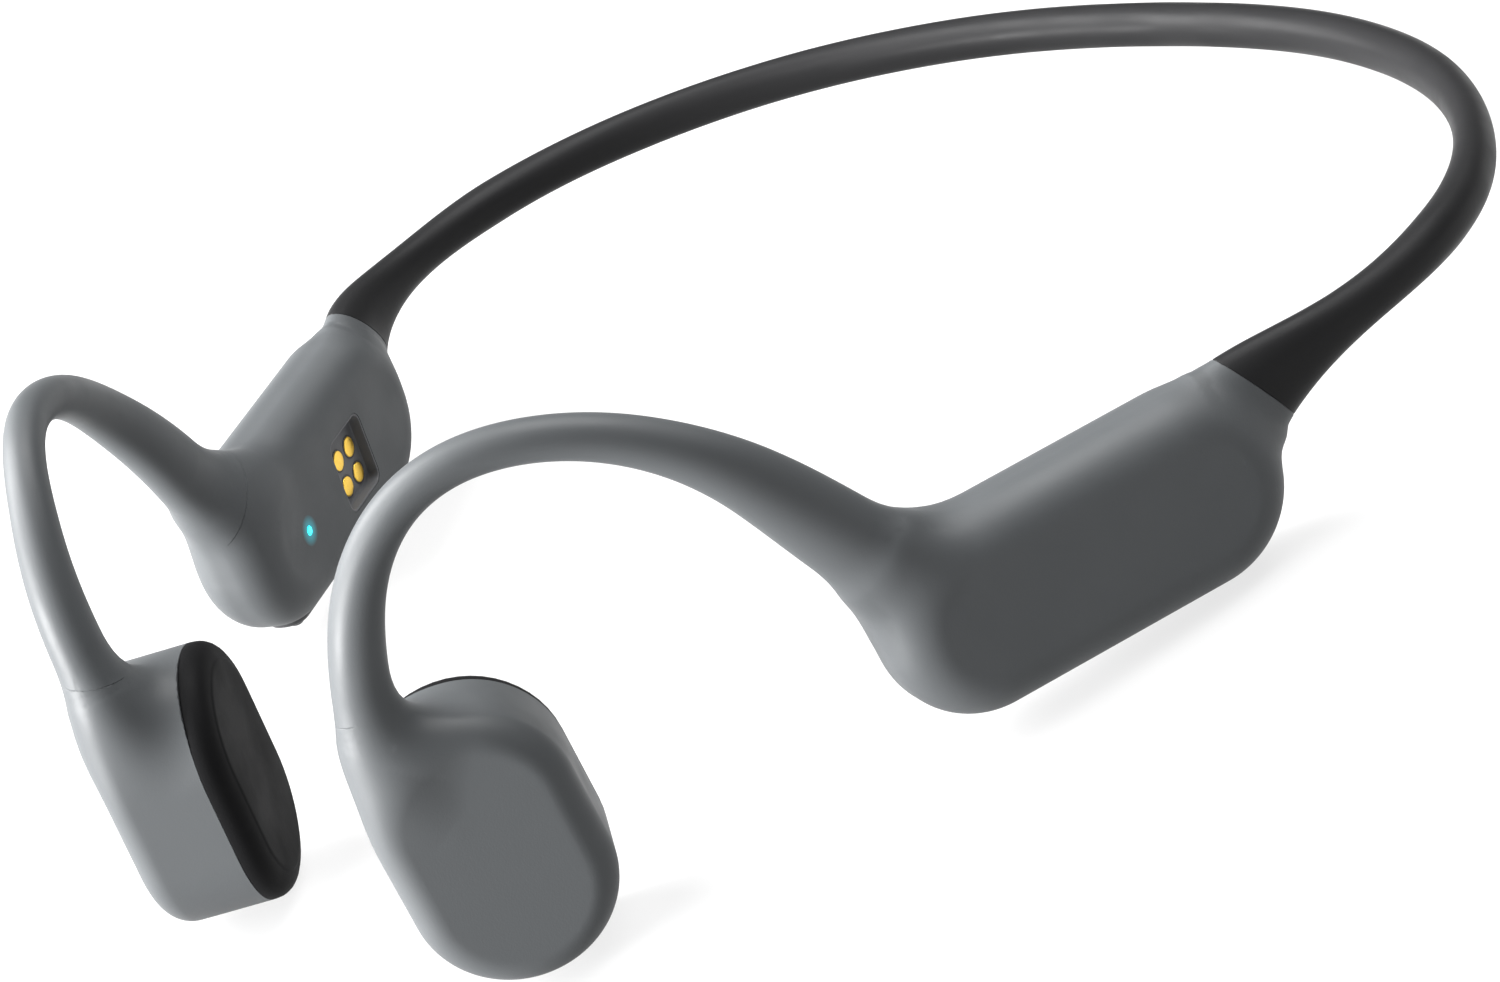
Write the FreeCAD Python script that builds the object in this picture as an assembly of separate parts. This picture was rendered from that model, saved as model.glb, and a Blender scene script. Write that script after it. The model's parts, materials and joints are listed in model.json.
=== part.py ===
import FreeCAD, Part
import math
import os

V = FreeCAD.Vector

# Bone conduction headphones, in millimetres.
# +Z is up, X = 0 is the plane of symmetry, +X is the wearer's left, the transducers are at -Y and the
# neckband's middle is at +Y. The object stands on Z = 0, on its transducers and pods.
# The left arm is drawn, and the right arm is its mirror image.

# ---- Driving dimensions ----

# A pod, transducer or recess has its own axes: x forward, y up, z towards the head.
POD_CENTRE = V(52.1, -15.7, 11.05)
POD_TOE, POD_PITCH, POD_LEAN = 23.1, -5.5, 4.9
POD_LENGTH, POD_HEIGHT, POD_DEPTH = 40.2, 18.4, 9.8
POD_CORNER, POD_EDGE, POD_WALL = 8.9, 4.2, 1.2

# The sloping face where the neckband meets the pod's neck, in the pod's axes.
SEAM_POINT = V(-20.4, 5.5, -0.2)
SEAM_SLOPE = 57.5
SEAM_HALF_HEIGHT, SEAM_HALF_WIDTH = 4.9, 3.6

TRANSDUCER_CENTRE = V(20.2, -62.2, 14.05)
TRANSDUCER_TOE, TRANSDUCER_PITCH, TRANSDUCER_LEAN = 39.4, 0.1, 4.6
TRANSDUCER_LENGTH, TRANSDUCER_HEIGHT = 18.5, 26.0
TRANSDUCER_CORNER, TRANSDUCER_EDGE = 9.2, 2.8
TRANSDUCER_BACK, TRANSDUCER_RIM, TRANSDUCER_FRONT = -6.2, 3.7, 6.2
TRANSDUCER_WALL = 1.2
PAD_BEVEL = 1.9

# Control points of the neckband's centre line, from the middle of the rear to the left pod's seam, and the
# half sizes of its section, which widens near the pod.
BAND_LINE = [V(0, 70.3, 8.15), V(14.7, 70.3, 8.15), V(32.6, 65.7, 8.85), V(49.2, 55.3, 10.15),
             V(61.8, 39.8, 11.85), V(65.6, 21.0, 14.1), V(62.6, 8.6, 15.6), V(60.0, 3.6, 14.4)]
BAND_HALF_HEIGHT, BAND_END_HALF_HEIGHT = 2.3, 4.7
BAND_HALF_WIDTH, BAND_END_HALF_WIDTH = 2.1, 3.6
BAND_FLARE_START, BAND_FLARE_POWER = 0.78, 2.2
BAND_LAST_SQUARE_SECTION = 0.93

# Control points of the hook's centre line, from inside the pod to inside the transducer, and its radii.
HOOK_LINE = [V(46, -26.9, 13.75), V(45.2, -31.2, 21.75), V(43.5, -33.5, 28.55), V(42.4, -37.6, 36.25),
             V(36.4, -44.5, 45.05), V(28.8, -54.1, 49.25), V(22.2, -61.5, 44.65), V(20, -65.7, 36.55),
             V(18.2, -67.1, 28.25), V(19, -65.2, 21.75)]
HOOK_RADIUS, HOOK_ROOT_RADIUS, HOOK_TIP_RADIUS = 2.1, 6.0, 3.2
HOOK_ROOT_HALF_WIDTH = 4.2
HOOK_ROOT_REACH, HOOK_TIP_REACH = 0.45, 0.35
HOOK_SIDE = V(0.77, -0.64, 0)

WIRE_RADIUS = 0.6
CABLE_RADIUS = 0.55
CABLE_OFFSET = 1.25
WIRE_LIFT = 0.65
CORE_END = V(-13.7, 3.0, 0)
HOOK_WIRE_RADIUS = 0.45
HOOK_CABLE_RADIUS = 0.4
HOOK_CABLE_OFFSET = 1.0

# The charging recess in the right pod's inner face, its contacts and the light, in the pod's axes.
RECESS_X, RECESS_Y = -3.1, -0.15
RECESS_LENGTH, RECESS_HEIGHT, RECESS_CORNER = 7.4, 7.6, 1.3
RECESS_FLOOR, RECESS_BACK = 3.65, 1.7
RECESS_RIM = 0.4
PIN_Y = -0.85
PIN_PITCH_X, PIN_PITCH_Y = 2.9, 3.0
PIN_RADIUS = 1.05
LIGHT_X, LIGHT_Y, LIGHT_RADIUS = 10.3, -0.6, 0.55

# The volume keys in the right pod's lower edge.
KEY_STRIP_X, KEY_STRIP_LENGTH, KEY_STRIP_WIDTH = 3.0, 22.0, 4.2
KEY_LENGTH, KEY_WIDTH, KEY_GAP = 8.6, 2.5, 0.3
KEY_TRAVEL = 0.4

BOARD_LENGTH, BOARD_HEIGHT, BOARD_THICKNESS = 25.2, 12.4, 0.8
BOARD_REAR, BOARD_LOW, BOARD_FACE = -13.1, -6.4, 1.2
BATTERY_LENGTH, BATTERY_HEIGHT, BATTERY_DEPTH = 23.4, 11.6, 6.0


# ---- Frames and curves ----

def piece_axes(centre, toe, pitch, lean):
    """The placement of a piece whose x is forward, y up and z towards the head."""
    toe, pitch, lean = math.radians(toe), math.radians(pitch), math.radians(lean)
    rear = V(math.sin(toe) * math.cos(pitch), math.cos(toe) * math.cos(pitch), math.sin(pitch))
    level = V(math.cos(toe), -math.sin(toe), 0)
    outward = level * math.cos(lean) + level.cross(rear) * math.sin(lean)
    up = outward.cross(rear)
    x, y, z = -rear, up, -outward
    return FreeCAD.Placement(FreeCAD.Matrix(x.x, y.x, z.x, centre.x,
                                            x.y, y.y, z.y, centre.y,
                                            x.z, y.z, z.z, centre.z,
                                            0, 0, 0, 1))


POD = piece_axes(POD_CENTRE, POD_TOE, POD_PITCH, POD_LEAN)
TRANSDUCER = piece_axes(TRANSDUCER_CENTRE, TRANSDUCER_TOE, TRANSDUCER_PITCH, TRANSDUCER_LEAN)


def placed(shape, placement):
    """A copy of the shape in the object's frame."""
    moved = shape.copy()
    moved.Placement = placement.multiply(shape.Placement)
    return moved


def spline(points):
    """A clamped cubic curve with these control points."""
    count = len(points)
    inner = [k / (count - 3) for k in range(1, count - 3)]
    curve = Part.BSplineCurve()
    curve.buildFromPolesMultsKnots(points, [4] + [1] * len(inner) + [4], [0.0] + inner + [1.0], False, 3)
    return curve


def band_flare(even, end, u):
    """A half size of the neckband at u: even round the rear, then widening to its end."""
    share = max(0.0, (u - BAND_FLARE_START) / (1 - BAND_FLARE_START))
    return even + (end - even) * share ** BAND_FLARE_POWER


def hook_half(root_half, u):
    """A half size of the hook at u: thick at its root, slim over the ear, thicker again at its tip."""
    root = max(0.0, 1 - u / HOOK_ROOT_REACH)
    tip = max(0.0, 1 - (1 - u) / HOOK_TIP_REACH)
    return HOOK_RADIUS + (root_half - HOOK_RADIUS) * root ** 2 + (HOOK_TIP_RADIUS - HOOK_RADIUS) * tip ** 2


def ring(centre, side, up, half_side, half_up):
    """An elliptic wire round centre."""
    points = []
    for k in range(16):
        angle = 2 * math.pi * k / 16
        points.append(centre + side * (half_side * math.cos(angle)) + up * (half_up * math.sin(angle)))
    curve = Part.BSplineCurve()
    curve.interpolate(Points=points, PeriodicFlag=True)
    return Part.Wire([curve.toShape()])


def section_axes(tangent, reference):
    """Two directions across a line: sideways, and as near to the reference as it can be."""
    side = tangent.cross(reference).normalize()
    return side, side.cross(tangent).normalize()


def tube(sections):
    """A solid through sections of (centre, side, up, half side, half up)."""
    return Part.makeLoft([ring(*section) for section in sections], True)


# ---- Plain bodies ----

def box(x0, x1, y0, y1, z0, z1):
    return Part.makeBox(x1 - x0, y1 - y0, z1 - z0, V(x0, y0, z0))


def rounded_plate(cx, cy, length, height, corner, z0, z1):
    """A plate with round corners, between z0 and z1."""
    plate = box(cx - length / 2, cx + length / 2, cy - height / 2, cy + height / 2, z0, z1)
    posts = [e for e in plate.Edges if abs(e.Vertexes[0].Z - e.Vertexes[1].Z) > 1e-6]
    return plate.makeFillet(corner, posts)


def face_edges(shape, z):
    """The edges of the flat face at z."""
    return [e for e in shape.Edges if all(abs(v.Z - z) < 1e-6 for v in e.Vertexes)
            and abs(e.CenterOfMass.z - z) < 1e-6]


def disc(cx, cy, radius, z0, z1):
    return Part.makeCylinder(radius, z1 - z0, V(cx, cy, z0))


def tube_ring(outer, inner, z0, z1):
    return disc(0, 0, outer, z0, z1).cut(disc(0, 0, inner, z0, z1))


# ---- Pod casing ----

def pebble(inset):
    """The pod's rounded block, or the same block with every face moved in by inset."""
    half = POD_DEPTH / 2 - inset
    plate = rounded_plate(0, 0, POD_LENGTH - 2 * inset, POD_HEIGHT - 2 * inset, POD_CORNER - inset, -half, half)
    return plate.makeFillet(POD_EDGE - inset, face_edges(plate, -half) + face_edges(plate, half))


def seam_axes():
    """Up the seam's slope, and out of the pod towards the neckband."""
    slope = math.radians(SEAM_SLOPE)
    up = V(math.cos(slope), math.sin(slope), 0)
    return up, V(-math.sin(slope), math.cos(slope), 0)


def neck():
    """The short neck that carries the pod's top rear corner to the seam."""
    up, out = seam_axes()
    stations = [(SEAM_POINT, SEAM_HALF_HEIGHT, SEAM_HALF_WIDTH),
                (SEAM_POINT - out * 4.0, SEAM_HALF_HEIGHT + 1.0, SEAM_HALF_WIDTH + 0.4),
                (SEAM_POINT - out * 9.0, SEAM_HALF_HEIGHT + 1.2, SEAM_HALF_WIDTH + 0.6)]
    rings = [ring(point, V(0, 0, 1), up, half_width, half_height) for point, half_height, half_width in stations]
    return Part.makeLoft(rings, True)


def casing():
    """The pod's closed casing before it is parted, in the pod's axes."""
    return pebble(0).fuse(neck()).removeSplitter().cut(pebble(POD_WALL))


def half_casing(towards_head, cutters):
    far = 12
    half = box(-40, 40, -30, 30, 0, far) if towards_head else box(-40, 40, -30, 30, -far, 0)
    shell = placed(casing().common(half), POD)
    for cutter in cutters:
        shell = shell.cut(cutter)
    return shell


# ---- Neckband ----

def both_halves(left):
    """The left half's sections, from the rear to the pod, with their mirror images before them."""
    right = []
    for centre, side, up, half_side, half_up in reversed(left[1:]):
        right.append((across(centre), across(side), across(up), half_side, half_up))
    return right + left


def across(vector):
    return V(-vector.x, vector.y, vector.z)


def band_place(u, lift):
    """The centre and the two directions of the neckband's section at u."""
    curve = spline(BAND_LINE)
    side, up = section_axes(curve.tangent(u)[0], V(0, 0, 1))
    return curve.value(u) + up * lift, side, up


def band_body():
    """The neckband's outside, which ends in the seam's own slope."""
    sections = []
    count = 14
    for k in range(count + 1):
        u = BAND_LAST_SQUARE_SECTION * k / count
        half_side = band_flare(BAND_HALF_WIDTH, BAND_END_HALF_WIDTH, u)
        sections.append(band_place(u, 0) + (half_side, band_flare(BAND_HALF_HEIGHT, BAND_END_HALF_HEIGHT, u)))
    slope_up = POD.Rotation.multVec(seam_axes()[0])
    towards_head = POD.Rotation.multVec(V(0, 0, 1))
    sections.append((POD.multVec(SEAM_POINT), towards_head, slope_up, SEAM_HALF_WIDTH, SEAM_HALF_HEIGHT))
    return tube(both_halves(sections))


def band_core(radius, lift):
    """The wire or the harness: along the neckband, then straight on to its end in each pod."""
    sections = []
    count = 20
    for k in range(count):
        sections.append(band_place(k / count, lift) + (radius, radius))
    end, side, up = POD.multVec(CORE_END), sections[-1][1], sections[-1][2]
    start = sections[-1][0]
    for share in (0.5, 1.0):
        sections.append((start + (end + up * lift - start) * share, side, up, radius, radius))
    return tube(both_halves(sections))


def band_wire():
    return band_core(WIRE_RADIUS, WIRE_LIFT)


def band_harness():
    return band_core(CABLE_RADIUS, WIRE_LIFT - CABLE_OFFSET)


def neckband_sleeve(wire, harness):
    return band_body().cut(wire).cut(harness)


# ---- Hook ----

def hook_sections(half_along_at, half_across_at, shift, count):
    """Sections along the hook, shifted in its own plane. Half sizes are along and across that plane."""
    curve = spline(HOOK_LINE)
    sections = []
    for k in range(count + 1):
        u = k / count
        point, tangent = curve.value(u), curve.tangent(u)[0]
        side, up = section_axes(tangent, HOOK_SIDE)
        sections.append((point + side * shift, side, up, half_along_at(u), half_across_at(u)))
    return sections


def hook_core(radius, shift):
    return tube(hook_sections(lambda u: radius, lambda u: radius, shift, 24))


def hook_sleeve(wire, cable):
    solid = tube(hook_sections(lambda u: hook_half(HOOK_ROOT_RADIUS, u),
                               lambda u: hook_half(HOOK_ROOT_HALF_WIDTH, u), 0, 18))
    block = placed(pebble(0), POD)
    return solid.cut(block).cut(placed(transducer_block(), TRANSDUCER)).cut(wire).cut(cable)


# ---- Transducer ----

def stadium(inset, z0, z1):
    return rounded_plate(0, 0, TRANSDUCER_LENGTH - 2 * inset, TRANSDUCER_HEIGHT - 2 * inset,
                         TRANSDUCER_CORNER - inset, z0, z1)


def transducer_block():
    """The cup's outside, with its outer face rounded."""
    block = stadium(0, TRANSDUCER_BACK, TRANSDUCER_RIM)
    return block.makeFillet(TRANSDUCER_EDGE, face_edges(block, TRANSDUCER_BACK))


CUP_FLOOR = TRANSDUCER_BACK + TRANSDUCER_WALL
SPRING_SEAT = 1.0
SPRING_THICKNESS = 0.3


def transducer_shell(wire, cable):
    ledge = TRANSDUCER_WALL + 1.0
    cup = transducer_block().cut(stadium(ledge, CUP_FLOOR, SPRING_SEAT))
    cup = cup.cut(stadium(TRANSDUCER_WALL, SPRING_SEAT, TRANSDUCER_RIM))
    return placed(cup, TRANSDUCER).cut(wire).cut(cable)


def transducer_pad():
    """The pad, whose rim stands in the cup and holds the spring plate down."""
    pad = stadium(0, TRANSDUCER_RIM, TRANSDUCER_FRONT)
    pad = pad.makeFillet(PAD_BEVEL, face_edges(pad, TRANSDUCER_FRONT))
    foot = SPRING_SEAT + SPRING_THICKNESS
    rim = stadium(TRANSDUCER_WALL, foot, TRANSDUCER_RIM).cut(stadium(TRANSDUCER_WALL + 1.0, foot, TRANSDUCER_RIM))
    post = disc(0, 0, 2.0, foot, TRANSDUCER_RIM)
    return placed(pad.fuse(rim).fuse(post).removeSplitter(), TRANSDUCER)


def transducer_spring():
    """A thin plate with two long slots, so that its middle moves against its rim."""
    plate = stadium(TRANSDUCER_WALL, SPRING_SEAT, SPRING_SEAT + SPRING_THICKNESS)
    for side in (-1, 1):
        slot = rounded_plate(0, side * 7.2, 9.0, 1.0, 0.49, SPRING_SEAT - 1, SPRING_SEAT + 1)
        plate = plate.cut(slot)
    return placed(plate, TRANSDUCER)


YOKE_RADIUS, YOKE_HEIGHT, YOKE_WALL = 6.4, 4.2, 0.8
MAGNET_RADIUS, MAGNET_HEIGHT = 4.1, 2.0
POLE_HEIGHT = 0.8
COIL_INNER, COIL_OUTER = 4.5, 5.2


def transducer_yoke():
    cup = disc(0, 0, YOKE_RADIUS, CUP_FLOOR, CUP_FLOOR + YOKE_HEIGHT)
    hollow = disc(0, 0, YOKE_RADIUS - YOKE_WALL, CUP_FLOOR + 1.0, CUP_FLOOR + YOKE_HEIGHT)
    return placed(cup.cut(hollow), TRANSDUCER)


def transducer_magnet():
    z = CUP_FLOOR + 1.0
    return placed(disc(0, 0, MAGNET_RADIUS, z, z + MAGNET_HEIGHT), TRANSDUCER)


def transducer_pole():
    z = CUP_FLOOR + 1.0 + MAGNET_HEIGHT
    return placed(disc(0, 0, MAGNET_RADIUS, z, z + POLE_HEIGHT), TRANSDUCER)


def transducer_coil():
    return placed(tube_ring(COIL_OUTER, COIL_INNER, SPRING_SEAT - 3.4, SPRING_SEAT), TRANSDUCER)


# ---- Inside both pods ----

def anchor(x, y, length, height, wire, cable):
    """A block that grips a wire's end, between the pod's two walls."""
    reach = 2.4
    block = box(x - length / 2, x + length / 2, y - height / 2, y + height / 2, -reach, reach)
    return placed(block, POD).cut(wire).cut(cable)


# ---- Left pod: power ----

def battery():
    half = BATTERY_DEPTH / 2
    cell = rounded_plate(-0.3, -0.9, BATTERY_LENGTH, BATTERY_HEIGHT, 1.5, -half, half)
    return placed(cell, POD)


def battery_board():
    return placed(box(-14.3, -12.5, -6.0, 0.5, -2.6, 2.6), POD)


# ---- Right pod: board, charging contacts, light and keys ----

def main_board():
    board = box(BOARD_REAR, BOARD_REAR + BOARD_LENGTH, BOARD_LOW, BOARD_LOW + BOARD_HEIGHT,
                BOARD_FACE - BOARD_THICKNESS, BOARD_FACE)
    return placed(board, POD)


def board_chips():
    """The radio, the charger and the amplifier, on the board's outer side."""
    back = BOARD_FACE - BOARD_THICKNESS
    chips = [box(-8, -2, -3.5, 2.5, back - 0.9, back), box(1, 4, -4, -1, back - 0.8, back),
             box(6, 9.5, -2, 1.5, back - 0.8, back)]
    return placed(Part.Compound(chips), POD)


def antenna():
    back = BOARD_FACE - BOARD_THICKNESS
    return placed(box(2.0, 10.0, 4.2, 5.8, back - 1.0, back), POD)


def microphone():
    back = BOARD_FACE - BOARD_THICKNESS
    return placed(box(9.2, 11.8, -5.6, -3.4, back - 1.0, back), POD)


def charge_window(grow, z0, z1):
    return rounded_plate(RECESS_X, RECESS_Y, RECESS_LENGTH + grow, RECESS_HEIGHT + grow,
                         RECESS_CORNER, z0, z1)


def pin_places():
    return [(RECESS_X + i * PIN_PITCH_X / 2, PIN_Y + j * PIN_PITCH_Y / 2) for i in (-1, 1) for j in (-1, 1)]


def charge_contact_block():
    front = POD_DEPTH / 2 - 0.15
    block = charge_window(2 * RECESS_RIM, RECESS_BACK, front)
    block = block.cut(charge_window(0, RECESS_FLOOR, front + 1))
    for x, y in pin_places():
        block = block.cut(disc(x, y, PIN_RADIUS, RECESS_BACK - 1, RECESS_FLOOR + 1))
    return placed(block, POD)


def charge_pins():
    pins = []
    for x, y in pin_places():
        pin = disc(x, y, PIN_RADIUS, BOARD_FACE, RECESS_FLOOR + 0.12)
        rim = face_edges(pin, RECESS_FLOOR + 0.12)
        pins.append(pin.makeFillet(0.1, rim))
    return placed(Part.Compound(pins), POD)


def charge_magnets():
    reach = POD_DEPTH / 2 - POD_WALL
    edge = RECESS_LENGTH / 2 + RECESS_RIM
    bars = [box(RECESS_X - edge - 1.8, RECESS_X - edge, -3.1, 2.9, RECESS_BACK, reach),
            box(RECESS_X + edge, RECESS_X + edge + 1.8, -3.1, 2.9, RECESS_BACK, reach)]
    return placed(Part.Compound(bars), POD)


def status_led():
    return placed(box(LIGHT_X - 0.8, LIGHT_X + 0.8, LIGHT_Y - 0.4, LIGHT_Y + 0.4, BOARD_FACE, BOARD_FACE + 0.6), POD)


def status_light_pipe():
    return placed(disc(LIGHT_X, LIGHT_Y, LIGHT_RADIUS, BOARD_FACE + 0.6, POD_DEPTH / 2), POD)


def upright_plate(cx, length, width, corner, y0, y1):
    """A round-ended plate that lies in the pod's lower edge, between y0 and y1."""
    plate = rounded_plate(0, 0, length, width, corner, y0, y1)
    plate.Placement = FreeCAD.Placement(FreeCAD.Matrix(1, 0, 0, cx,
                                                       0, 0, 1, 0,
                                                       0, -1, 0, 0,
                                                       0, 0, 0, 1))
    return plate


KEY_STRIP_LOW, KEY_STRIP_TOP = -POD_HEIGHT / 2 - 0.5, -POD_HEIGHT / 2 + 1.3
KEY_LOW = KEY_STRIP_LOW - 0.8
KEY_FLANGE_LOW, KEY_FLANGE_TOP = KEY_STRIP_TOP + 0.05, KEY_STRIP_TOP + 0.5
KEY_FLANGE_LIP = 0.25
KEY_PLACES = {"volume_up_button": KEY_STRIP_X + 5.0, "volume_down_button": KEY_STRIP_X - 5.0}


def key_strip_space():
    return upright_plate(KEY_STRIP_X, KEY_STRIP_LENGTH, KEY_STRIP_WIDTH, KEY_STRIP_WIDTH / 2 - 0.05,
                         KEY_STRIP_LOW, KEY_STRIP_TOP)


def button_bezel():
    bezel = key_strip_space()
    for x in KEY_PLACES.values():
        bezel = bezel.cut(upright_plate(x, KEY_LENGTH, KEY_WIDTH, KEY_WIDTH / 2 - 0.05,
                                        KEY_STRIP_LOW - 1, KEY_STRIP_TOP + 1))
    return placed(bezel, POD)


def volume_key(x):
    """A key and its flange, which is wider than the key's window and stays behind it."""
    width = KEY_WIDTH - 2 * KEY_GAP
    cap = upright_plate(x, KEY_LENGTH - 2 * KEY_GAP, width, width / 2 - 0.05, KEY_LOW, KEY_FLANGE_TOP)
    width = KEY_WIDTH + 2 * KEY_FLANGE_LIP
    flange = upright_plate(x, KEY_LENGTH + 2 * KEY_FLANGE_LIP, width, width / 2 - 0.05,
                           KEY_FLANGE_LOW, KEY_FLANGE_TOP)
    return placed(cap.fuse(flange).removeSplitter(), POD)


def volume_switches():
    """Two switches that hang from the board's lower edge, just over the keys' flanges."""
    low = KEY_FLANGE_TOP + KEY_TRAVEL + 0.05
    bodies = [box(x - 1.6, x + 1.6, low, BOARD_LOW, -1.0, 1.0) for x in KEY_PLACES.values()]
    return placed(Part.Compound(bodies), POD)


# ---- Both sides ----

def mirrored(shape):
    return shape.mirror(V(0, 0, 0), V(1, 0, 0))


def build():
    nodes = {}
    wire, harness = band_wire(), band_harness()
    nodes["neckband_sleeve"] = neckband_sleeve(wire, harness)
    nodes["neckband_wire"] = wire
    nodes["neckband_harness"] = harness
    hook_wire = hook_core(HOOK_WIRE_RADIUS, HOOK_CABLE_OFFSET / 2)
    hook_cable = hook_core(HOOK_CABLE_RADIUS, -HOOK_CABLE_OFFSET / 2)
    cutters = [wire, harness, hook_wire, hook_cable]
    window = placed(charge_window(2 * RECESS_RIM, 0, 20), POD)
    light = placed(disc(LIGHT_X, LIGHT_Y, LIGHT_RADIUS, 0, 20), POD)
    strip = placed(key_strip_space(), POD)
    left = {
        "pod_shell": half_casing(False, cutters),
        "pod_cover": half_casing(True, cutters),
        "hook_sleeve": hook_sleeve(hook_wire, hook_cable),
        "hook_wire": hook_wire,
        "hook_cable": hook_cable,
        "band_anchor": anchor(-14.9, 3.0, 2.6, 4.6, wire, harness),
        "hook_anchor": anchor(14.6, 2.6, 3.0, 5.0, hook_wire, hook_cable),
        "transducer_shell": transducer_shell(hook_wire, hook_cable),
        "transducer_pad": transducer_pad(),
        "transducer_yoke": transducer_yoke(),
        "transducer_magnet": transducer_magnet(),
        "transducer_pole": transducer_pole(),
        "transducer_coil": transducer_coil(),
        "transducer_spring": transducer_spring(),
    }
    right = dict(left)
    right["pod_shell"] = left["pod_shell"].cut(strip)
    right["pod_cover"] = left["pod_cover"].cut(strip).cut(window).cut(light)
    for name, shape in left.items():
        nodes[name + "_left"] = shape
    for name, shape in right.items():
        nodes[name + "_right"] = mirrored(shape)
    nodes["battery"] = battery()
    nodes["battery_board"] = battery_board()
    inside_right = {
        "main_board": main_board(),
        "board_chips": board_chips(),
        "antenna": antenna(),
        "microphone": microphone(),
        "charge_contact_block": charge_contact_block(),
        "charge_pins": charge_pins(),
        "charge_magnets": charge_magnets(),
        "status_led": status_led(),
        "status_light_pipe": status_light_pipe(),
        "button_bezel": button_bezel(),
        "volume_switches": volume_switches(),
    }
    for name, x in KEY_PLACES.items():
        inside_right[name] = volume_key(x)
    for name, shape in inside_right.items():
        nodes[name] = mirrored(shape)
    return nodes


os.makedirs("parts", exist_ok=True)
for name, shape in build().items():
    shape.exportStep("parts/" + name + ".step")
    size = shape.BoundBox
    print("%-24s solids %d valid %s volume %8.1f  x %.2f..%.2f y %.2f..%.2f z %.2f..%.2f" % (
        name, len(shape.Solids), shape.isValid(), shape.Volume,
        size.XMin, size.XMax, size.YMin, size.YMax, size.ZMin, size.ZMax))
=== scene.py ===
import json
import math

import bmesh
import bpy
import numpy as np
from mathutils import Matrix, Vector


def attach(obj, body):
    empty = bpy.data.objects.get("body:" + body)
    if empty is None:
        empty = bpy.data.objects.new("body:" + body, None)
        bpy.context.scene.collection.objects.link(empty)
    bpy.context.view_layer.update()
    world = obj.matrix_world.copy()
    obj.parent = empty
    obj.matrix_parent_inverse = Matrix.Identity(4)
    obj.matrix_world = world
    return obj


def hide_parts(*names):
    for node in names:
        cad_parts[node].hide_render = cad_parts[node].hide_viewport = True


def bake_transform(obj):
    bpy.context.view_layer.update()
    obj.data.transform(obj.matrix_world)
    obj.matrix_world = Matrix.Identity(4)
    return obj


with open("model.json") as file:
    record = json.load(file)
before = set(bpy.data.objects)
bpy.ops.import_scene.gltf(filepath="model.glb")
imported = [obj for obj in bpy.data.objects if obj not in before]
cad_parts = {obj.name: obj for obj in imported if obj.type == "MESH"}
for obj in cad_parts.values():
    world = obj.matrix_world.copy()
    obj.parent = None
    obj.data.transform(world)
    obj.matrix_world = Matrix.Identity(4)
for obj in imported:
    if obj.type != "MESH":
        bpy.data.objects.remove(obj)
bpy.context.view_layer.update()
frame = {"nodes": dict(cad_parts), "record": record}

# Bone conduction headphones. Shapes are worked out in millimetres and made in metres.
# The left arm is described, and the right arm is its mirror image.

MM = 0.001
SIDES = {"left": 1, "right": -1}

# ---- Sizes ----

# A pod and a transducer have their own axes: x forward, y up, z towards the head.
POD_PLACE = {"centre": (52.1, -15.7, 10.98), "toe": 23.1, "pitch": -5.5, "lean": 4.9}
POD_HALF, POD_CORNER, POD_EDGE = (20.1, 9.2, 4.9), 8.9, 4.25

CUP_PLACE = {"centre": (20.2, -62.2, 13.9), "toe": 39.4, "pitch": 0.1, "lean": 4.6}
CUP_HALF, CUP_CORNER, CUP_EDGE = (9.2, 12.9), 9.15, 2.8
CUP_BACK, CUP_RIM = -6.2, 3.72

BAND_LINE = [(0, 70.3, 8.15), (14.7, 70.3, 8.15), (32.6, 65.7, 8.85), (49.2, 55.3, 10.15),
             (61.8, 39.8, 11.8), (65.5, 20.9, 14.0), (61.6, 5.5, 15.3), (59.2, 2.1, 13.45)]
BAND_AT = (0, 0.25, 0.5, 0.7, 0.87, 1)
BAND_HALF_UP = (2.31, 2.30, 2.37, 2.32, 2.65, 5.45)
BAND_HALF_SIDE = (2.26, 2.19, 1.92, 2.21, 1.98, 2.7)

# The neck runs on from the neckband's end into the pod, and the heel from the hook's end.
NECK_REACH, NECK_LINE = 0.4, [(-13.65, 5.2, 0.6), (-8.55, 4.35, 0.35)]
NECK_AT, NECK_HALF_UP, NECK_HALF_SIDE = (0, 0.55, 1), (5.45, 4.5, 0.6), (2.7, 2.1, 0.4)
NECK_BLEND = 2.3
HEEL_REACH, HEEL_LINE = 2.1, [(15.2, 4.45, 0.4), (11.5, -1.2, 0.6)]
HEEL_HALF_SIDE, HEEL_HALF_UP, HEEL_SINK = (4.08, 3.06), (3.07, 2.3), 6.0

HOOK_LINE = [(45.55, -31.21, 21.77), (42.92, -33.99, 28.72), (42.4, -37.6, 36.25), (36.4, -44.5, 45.05),
             (28.8, -54.1, 49.25), (22.2, -61.5, 44.65), (20.1, -65.6, 36.5), (18.35, -66.95, 28.2)]
HOOK_AT = (0, 0.33, 0.7, 1)
HOOK_HALF_SIDE, HOOK_HALF_UP = (4.08, 2.27, 1.96, 2.7), (3.07, 2.24, 1.96, 2.7)
HOOK_PLANE = (0.77, -0.64, 0)

# How widely the hook's ends flow into the pod and the cup: at the pod more on its inner side.
ROOT_BLEND, ROOT_BLEND_AT, TIP_BLEND = (5.4, 8.35), (-3, 4), 6.6

# The hook runs on inside the transducer's cup, so that their outlines are one line.
TAIL_LINE = [(5.8, 11.2, -2.3), (4.0, 7.5, -2.1), (2.4, 4.5, -2.0)]
TAIL_RADIUS, TAIL_SINK = (2.7, 1.9), 3.5

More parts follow.
